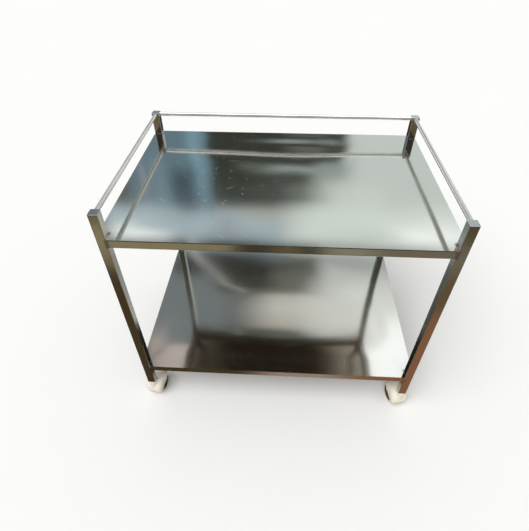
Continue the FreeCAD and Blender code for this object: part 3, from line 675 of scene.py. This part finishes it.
def emission_card(name, size, location, rotation, material):
    """A glowing card, no lamp, that only the steel's reflections see: it paints a reflection."""
    start_clean()
    bpy.ops.mesh.primitive_plane_add(size=1, location=location, rotation=rotation)
    card = bpy.context.object
    card.name = name
    card.scale = (size[0], size[1], 1)
    settle(card)
    card.data.materials.append(material)
    card.visible_camera = False
    card.visible_diffuse = False
    card.visible_shadow = False
    card.visible_transmission = False
    return card


# Painted reflection on the glowing wall card, which the sheets mirror: middle x and z, half width and height,
# edges, lean in degrees, and the colour that the steel then shows
PAINTED_WALL_REFLECTION = {
    "doorway": (-1.1, 12.05, 5.28, 6.10, 0.44, 0.90, 0, "#32342C"),
    "dim room beyond the doorway": (-1.2, 16.9, 2.91, 0.90, 1.80, 0.60, 0, "#2C2F28"),
    "doorstep": (1.5, 11.7, 1.26, 0.50, 0.90, 0.44, 0, "#696A63"),
    "lit floor in the doorway": (0.9, 15.0, 2.52, 0.65, 1.90, 0.50, 0, "#929B97"),
    "lit floor to the left": (-2.5, 14.6, 0.97, 0.44, 0.80, 0.44, 0, "#5E6560"),
    "open door leaf": (3.6, 14.9, 1.25, 1.30, 0.80, 0.80, 0, "#8A938F"),
    "lit wall over the door leaf": (5.1, 18.1, 2.30, 1.90, 1.60, 0.80, 0, "#C6CCC7"),
    "curtain": (-10.3, 12.4, 5.01, 6.10, 0.18, 0.60, 0, "#5F727C"),
    "lit edge of the curtain": (-6.2, 13.8, 0.47, 3.40, 0.40, 1.20, 0, "#73909E"),
    "dark fold of the curtain": (-7.5, 17.0, 0.85, 2.00, 0.56, 0.70, 0, "#3C4A52"),
    "middle fold of the curtain": (-9.1, 16.2, 0.50, 2.40, 0.50, 1.00, 0, "#6C8189"),
    "pale seam of the curtain": (-10.2, 15.8, 0.16, 1.80, 0.18, 0.80, 0, "#90909A"),
    "brown shade beside the curtain": (-12.3, 16.9, 0.78, 1.20, 0.70, 0.80, 0, "#57534B"),
    "ceiling": (-8.0, 20.2, 8.54, 1.66, 1.20, 0.56, 0, "#A4B3BA"),
    "ceiling by the door": (-4.5, 20.1, 1.07, 1.00, 1.10, 0.80, 0, "#99A2AA"),
    "beige beam": (-1.2, 18.8, 1.94, 0.32, 1.80, 0.44, 0, "#B0AC9C"),
    "ceiling to the right": (9.1, 19.9, 8.15, 2.00, 1.60, 0.80, 0, "#D0D7D1"),
    "left window": (-13.0, 21.3, 3.40, 0.95, 1.70, 0.70, 0, "#FCFEFD"),
    "right window": (12.2, 20.7, 2.91, 1.00, 1.80, 0.90, 0, "#FAFCFA"),
    "upper wall": (-6.8, 28.8, 8.74, 7.24, 1.20, 0.12, 0, "#6E7375"),
    "upper wall to the right": (9.6, 28.8, 7.00, 7.24, 3.20, 0.12, 0, "#B2B4B0"),
    "skirting to the right": (7.6, 22.3, 4.40, 0.80, 1.20, 0.50, 0, "#8F9190"),
    "lit wall to the right": (9.3, 29.8, 4.37, 5.00, 2.00, 1.60, 0, "#CFD1CD"),
    "dark shelves": (-2.5, 25.6, 3.30, 2.10, 0.90, 0.60, -14, "#3A3B33"),
    "shade over the shelves": (-1.5, 28.9, 3.00, 1.60, 1.40, 0.90, 0, "#55564F"),
    "bench": (-3.0, 23.0, 6.30, 1.42, 0.90, 0.30, 0, "#211D15"),
    "lit gap over the bench": (0.6, 24.3, 1.30, 0.25, 0.80, 0.25, 0, "#6E6E6A"),
    "dim wall over the shelves": (1.2, 26.0, 1.80, 2.50, 1.40, 1.00, 0, "#62615A"),
    "lintel": (0.8, 29.9, 2.85, 0.80, 2.40, 0.50, 0, "#BCB4AB"),
    "lit wall over the lintel": (4.9, 30.4, 2.47, 1.80, 1.80, 0.80, 0, "#C9C8C2"),
    "light high over the lintel": (6.3, 33.6, 8.50, 2.60, 2.60, 1.00, 0, "#CFCBC3"),
    "leaning pole": (-5.6, 24.7, 0.26, 4.20, 0.22, 0.50, -34, "#A3A19C"),
    "high wall to the left": (-12.5, 38.2, 3.23, 4.40, 1.60, 2.40, 0, "#AC9F9A"),
    "high window to the right": (12.2, 37.0, 3.23, 7.20, 1.80, 2.40, 0, "#FCFDFC"),
    "dark room to the far left": (-24.4, 25.8, 9.90, 18.00, 1.10, 2.00, 0, "#2A2620"),
    "dim room to the far right": (25.0, 25.8, 9.40, 18.00, 1.60, 2.00, 0, "#585852"),
}

# Painted reflection on the glowing floor card, which posts and bars mirror, with painted shade under the trolley:
# middle x and y, half sizes, edges and the colour shown
PAINTED_FLOOR_REFLECTION = {
    "near floor on the left": (-1.60, 0.9, 1.75, 1.88, 0.15, 0.05, "#3F3424"),
    "near floor on the right": (1.60, 0.9, 1.35, 1.86, 0.20, 0.04, "#584A37"),
    "red cloth": (1.65, 0.9, 1.42, 1.66, 0.12, 0.05, "#79563F"),
    "light patch ahead of the lower bar": (0.10, -0.42, 0.17, 0.05, 0.10, 0.03, "#8E7C70"),
    "left of the olive cloth": (-1.10, -1.02, 0.42, 0.04, 0.10, 0.03, "#71685A"),
    "olive cloth": (-0.62, -1.20, 0.52, 0.14, 0.10, 0.06, "#80775D"),
    "dark gap": (-0.14, -1.18, 0.11, 0.14, 0.07, 0.04, "#37322A"),
    "second dark gap": (0.15, -1.18, 0.05, 0.12, 0.05, 0.04, "#3D3C33"),
    "pale cloth": (0.40, -1.18, 0.16, 0.12, 0.08, 0.05, "#7E7B6E"),
    "olive cloth on the right": (0.80, -1.16, 0.30, 0.14, 0.12, 0.05, "#686256"),
    "dark cloth on the right": (1.15, -1.36, 0.22, 0.13, 0.08, 0.05, "#474230"),
    "pale floor behind the trolley on the right": (0.95, 1.30, 0.60, 1.30, 0.18, 0.10, "#9A9186"),
    "floor behind the trolley on the left": (-0.85, 1.30, 0.60, 1.30, 0.10, 0.10, "#5A5045"),
    "shade under the trolley": (-0.04, 1.30, 0.46, 1.62, 0.20, 0.04, "#231B12"),
}


def painted_wall_glow():
    """Painted reflection on a glowing wall card, seen only by the steel, that both sheets mirror: a doorway, a
    cool curtain, a light ceiling and side windows.
    """
    material, tree = new_material("far wall")
    place = add(tree, "ShaderNodeTexCoord").outputs["Object"]
    noise = add(tree, NOISE, place, 0.25, 2).outputs["Color"]
    drift = add(tree, VECTOR, noise, (0.5, 0.5, 0.5), operation="SUBTRACT")
    place = add(tree, VECTOR, drift, (0.9, 0.0, 0.9), place, operation="MULTIPLY_ADD")
    shade = linear("#BEC3BF")
    for x, z, half_x, half_z, soft_x, soft_z, lean, code in PAINTED_WALL_REFLECTION.values():
        shade = soft_patch(tree, place, shade, code, (x, REFLECTION_WALL_Y, z), (half_x, WHOLE, half_z),
                           (soft_x, WHOLE_EDGE, soft_z), lean)
    return finish_material(material, add(tree, "ShaderNodeEmission", shade, REFLECTION_WALL_GLOW), linear("#BEC3BF"))


def painted_near_wall_glow():
    """Painted reflection on a glowing card behind the camera, which the rear posts mirror: dark, a little lighter
    high up.
    """
    material, tree = new_material("wall behind the camera")
    place = add(tree, "ShaderNodeTexCoord").outputs["Object"]
    shade = soft_patch(tree, place, linear("#63645F"), "#4A4137", (0, -6, 3.2), (9, WHOLE, 2.1),
                       (1, WHOLE_EDGE, 0.7))
    return finish_material(material, add(tree, "ShaderNodeEmission", shade, 1.0), linear("#4A4137"))


def painted_highlight_glow():
    """Painted highlight: a glowing card overhead that lights nothing, which rails and rolled edges mirror as a
    bright line.
    """
    material, tree = new_material("overhead soft box")
    return finish_material(material, add(tree, "ShaderNodeEmission", (1, 1, 1), HIGHLIGHT_CARD_GLOW), (1, 1, 1))


def painted_floor_glow():
    """Painted reflection of a brown floor on a glowing card, seen only by the steel, that posts, bars and
    undersides mirror: olive in a band ahead of the trolley.
    """
    material, tree = new_material("floor cloth")
    place = add(tree, "ShaderNodeTexCoord").outputs["Object"]
    noise = add(tree, NOISE, place, 6, 3).outputs["Color"]
    drift = add(tree, VECTOR, noise, (0.5, 0.5, 0.5), operation="SUBTRACT")
    place = add(tree, VECTOR, drift, (0.05, 0.05, 0.0), place, operation="MULTIPLY_ADD")
    shade = linear("#5A523F")
    for x, y, half_x, half_y, soft_x, soft_y, code in PAINTED_FLOOR_REFLECTION.values():
        shade = soft_patch(tree, place, shade, code, (x, y, 0), (half_x, half_y, WHOLE),
                           (soft_x, soft_y, WHOLE_EDGE))
    return finish_material(material, add(tree, "ShaderNodeEmission", shade, FLOOR_REFLECTION_GLOW), linear("#5A523F"))


def pale_floor(settings):
    """Matte studio vinyl, pale, with a trace of unevenness."""
    material, tree = new_material("pale studio floor")
    place = add(tree, "ShaderNodeTexCoord").outputs["Object"]
    cloud = add(tree, NOISE, place, 1.3, 3)
    shade = add(tree, MIX, cloud, settings.floor, [c * 0.985 for c in settings.floor], data_type="RGBA")
    return finish_material(material, add(tree, "ShaderNodeBsdfDiffuse", shade), settings.floor)


def white_surroundings(settings):
    """World: white where it is seen, mirrored or looked through, and a plain soft light elsewhere."""
    world = bpy.data.worlds.new("white surroundings")
    bpy.context.scene.world = world
    world.use_nodes = True
    tree = world.node_tree
    tree.nodes.clear()
    path = add(tree, "ShaderNodeLightPath").outputs
    seen = add(tree, MATH, path["Is Camera Ray"], path["Is Glossy Ray"], operation="MAXIMUM")
    seen = add(tree, MATH, seen, path["Is Transmission Ray"], operation="MAXIMUM")
    strength = add(tree, RANGE, seen, 0.0, 1.0, settings.soft_light, 1.0)
    add(tree, "ShaderNodeOutputWorld", add(tree, "ShaderNodeBackground", (1, 1, 1), strength))


def place_camera(settings):
    """Camera from the angle that the picture was taken at."""
    data = bpy.data.cameras.new("studio_camera")
    camera = bpy.data.objects.new("studio_camera", data)
    bpy.context.scene.collection.objects.link(camera)
    data.sensor_width = 36
    data.lens = settings.focal_pixels * 36 / 531
    data.shift_y = settings.rise
    data.clip_start, data.clip_end = 0.05, 100
    right = Vector((math.cos(settings.yaw), -math.sin(settings.yaw), 0))
    ahead = Vector((math.sin(settings.yaw), math.cos(settings.yaw), 0))
    up = Vector((0, 0, 1))
    forward = math.cos(settings.pitch) * ahead - math.sin(settings.pitch) * up
    above = math.sin(settings.pitch) * ahead + math.cos(settings.pitch) * up
    across = math.cos(settings.roll) * right + math.sin(settings.roll) * above
    upright = -math.sin(settings.roll) * right + math.cos(settings.roll) * above
    turn = Matrix((across, upright, -forward)).transposed().to_4x4()
    camera.matrix_world = Matrix.Translation(settings.camera_place) @ turn
    bpy.context.scene.camera = camera


class TROLLEY_OT_studio(Operator):
    """Camera, pale floor, soft light and the glowing cards that paint the steel's reflections"""
    bl_idname = "trolley.studio"
    bl_label = "Studio"

    def execute(self, context):
        settings = context.scene.trolley_studio
        context.scene.view_settings.view_transform = "Standard"
        place_camera(settings)
        white_surroundings(settings)
        start_clean()
        bpy.ops.mesh.primitive_plane_add(size=60, location=(0, 10, 0))
        floor = context.object
        floor.name = "studio_floor"
        settle(floor)
        floor.data.materials.append(pale_floor(settings))
        sun = bpy.data.lights.new("soft_key", "SUN")
        sun.energy = settings.key_light
        sun.angle = math.radians(50)
        lamp = bpy.data.objects.new("soft_key", sun)
        lamp.rotation_euler = (math.radians(26), math.radians(-20), 0)
        lamp.visible_glossy = False
        context.scene.collection.objects.link(lamp)
        # Glowing cards that light nothing: painted reflections in the steel, and a painted highlight overhead
        emission_card("far_wall_card", (76, 37), (0, REFLECTION_WALL_Y, 26.5), (math.pi / 2, 0, 0), painted_wall_glow())
        emission_card("floor_card", (7, 6), (0, 0, 0.0004), (0, 0, 0), painted_floor_glow())
        emission_card("near_wall_card", (14, 11.5), (0, -6, 8.25), (math.pi / 2, 0, 0), painted_near_wall_glow())
        emission_card("softbox_card", (6, 2.6), (0, 0.1, 4), (0, 0, 0), painted_highlight_glow())
        return {"FINISHED"}


class TROLLEY_OT_shelves(Operator):
    """Hemmed shelf sheets with the waves that welding draws into them"""
    bl_idname = "trolley.shelves"
    bl_label = "Shelf sheets"

    def execute(self, context):
        sizes = context.scene.trolley_sizes
        material = polished_sheet(context.scene.trolley_colours)
        shelf_sheet("upper", upper_waves, sizes, material)
        shelf_sheet("lower", lower_waves, sizes, material)
        return {"FINISHED"}


class TROLLEY_OT_welds(Operator):
    """Weld beads under the bars, at the shelf notches and round the rail ends"""
    bl_idname = "trolley.welds"
    bl_label = "Weld beads"

    def execute(self, context):
        sizes = context.scene.trolley_sizes
        material = weld_metal(context.scene.trolley_colours)
        models = (
            straight_bead("bead_model", 23 * MM, sizes.weld_radius, sizes.weld_pitch),
            straight_bead("tack_model", sizes.tack_length, sizes.weld_radius * 0.8, sizes.weld_pitch),
            ring_bead("ring_model", RAIL_RADIUS, sizes.ring_bead),
        )
        for corner in CORNERS:
            weld_set(corner, models, sizes, material)
        for model in models:
            bpy.data.objects.remove(model)
        return {"FINISHED"}


class TROLLEY_OT_frame_finish(Operator):
    """Finishes of posts, caps, bars and rails"""
    bl_idname = "trolley.frame_finish"
    bl_label = "Frame finish"

    def execute(self, context):
        colours = context.scene.trolley_colours
        tube_x = polished_tube(colours, "belt polished tube, lengthwise", colours.tube, 0, 0.07)
        tube_y = polished_tube(colours, "belt polished tube, crosswise", colours.tube, 1, 0.07)
        tube_z = polished_tube(colours, "belt polished tube, upright", colours.tube, 2, 0.07)
        cap = polished_tube(colours, "ground cap plate", colours.cap, 0, 0.20)
        rail_x = polished_tube(colours, "bright drawn rail, lengthwise", colours.rail, 0, 0.08)
        rail_y = polished_tube(colours, "bright drawn rail, crosswise", colours.rail, 1, 0.12, 0.7)
        for name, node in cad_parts.items():
            if name.startswith("post_cap"):
                finish = cap
            elif name.startswith("post_"):
                finish = tube_z
            elif name.endswith(("bar_front", "bar_rear")):
                finish = tube_x
            elif name.endswith(("bar_left", "bar_right")):
                finish = tube_y
            elif name == "guard_rail_rear":
                finish = rail_x
            elif name.startswith("guard_rail"):
                finish = rail_y
            else:
                continue
            node.data.materials.clear()
            node.data.materials.append(finish)
        return {"FINISHED"}


class TROLLEY_OT_castors(Operator):
    """Finishes of the castors and the light ring on each wheel"""
    bl_idname = "trolley.castors"
    bl_label = "Castors"

    def execute(self, context):
        colours = context.scene.trolley_colours
        sizes = context.scene.trolley_sizes
        hood = moulded_plastic("ivory moulded hood", colours.hood, colours.dirt_and_shade, 0.30, 0.0004, 0.05, 0.45)
        tyre = moulded_plastic("ivory rubber tyre", colours.tyre, colours.dirt_and_shade, 0.48, 0.0006, 0.03, 0.60)
        wheel = moulded_plastic("dark glossy wheel centre", colours.wheel, colours.dirt_and_shade, 0.14, 0.0008, 0.03, 0.18)
        trim = moulded_plastic("light wheel ring", colours.trim, colours.dirt_and_shade, 0.28, 0.0006, 0.03, 0.25)
        plug = moulded_plastic("dark nylon plug", colours.plug, colours.dirt_and_shade, 0.40, 0.0005, 0.03, 0.2)
        zinc = zinc_plated(colours)
        finishes = {"castor_hood": hood, "tyre": tyre, "wheel_centre": wheel, "leg_plug": plug,
                    "castor_stem": zinc, "castor_axle": zinc}
        for name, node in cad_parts.items():
            for start, finish in finishes.items():
                if name.startswith(start):
                    node.data.materials.clear()
                    node.data.materials.append(finish)
        for side, direction in (("left", -1), ("right", 1)):
            model = wheel_ring(sizes, direction)
            for corner in CORNERS:
                ring = copy_piece(model, f"wheel_ring_{corner}_{side}", castor_matrix(corner))
                dress(ring, trim, f"wheel_{corner}_{side}")
            bpy.data.objects.remove(model)
        return {"FINISHED"}


class TROLLEY_PT_panel(Panel):
    bl_label = "Instrument Trolley"
    bl_idname = "TROLLEY_PT_panel"
    bl_space_type = "VIEW_3D"
    bl_region_type = "UI"
    bl_category = "Trolley"

    def draw(self, context):
        layout = self.layout
        scene = context.scene
        for heading, group in (("Sizes", scene.trolley_sizes), ("Colours", scene.trolley_colours),
                               ("Studio", scene.trolley_studio)):
            box = layout.box()
            box.label(text=heading)
            for name in group.__annotations__:
                box.prop(group, name)
        for operator in OPERATORS:
            layout.operator(operator.bl_idname)


OPERATORS = (TROLLEY_OT_studio, TROLLEY_OT_shelves, TROLLEY_OT_welds, TROLLEY_OT_frame_finish,
             TROLLEY_OT_castors)
CLASSES = (TrolleySizes, TrolleyColours, StudioSettings, *OPERATORS, TROLLEY_PT_panel)


def register():
    for item in CLASSES:
        bpy.utils.register_class(item)
    bpy.types.Scene.trolley_sizes = PointerProperty(type=TrolleySizes)
    bpy.types.Scene.trolley_colours = PointerProperty(type=TrolleyColours)
    bpy.types.Scene.trolley_studio = PointerProperty(type=StudioSettings)


def unregister():
    del bpy.types.Scene.trolley_studio
    del bpy.types.Scene.trolley_colours
    del bpy.types.Scene.trolley_sizes
    for item in reversed(CLASSES):
        bpy.utils.unregister_class(item)


def main():
    register()
    bpy.ops.trolley.studio()
    bpy.ops.trolley.shelves()
    bpy.ops.trolley.welds()
    bpy.ops.trolley.frame_finish()
    bpy.ops.trolley.castors()


if __name__ == "__main__":
    main()
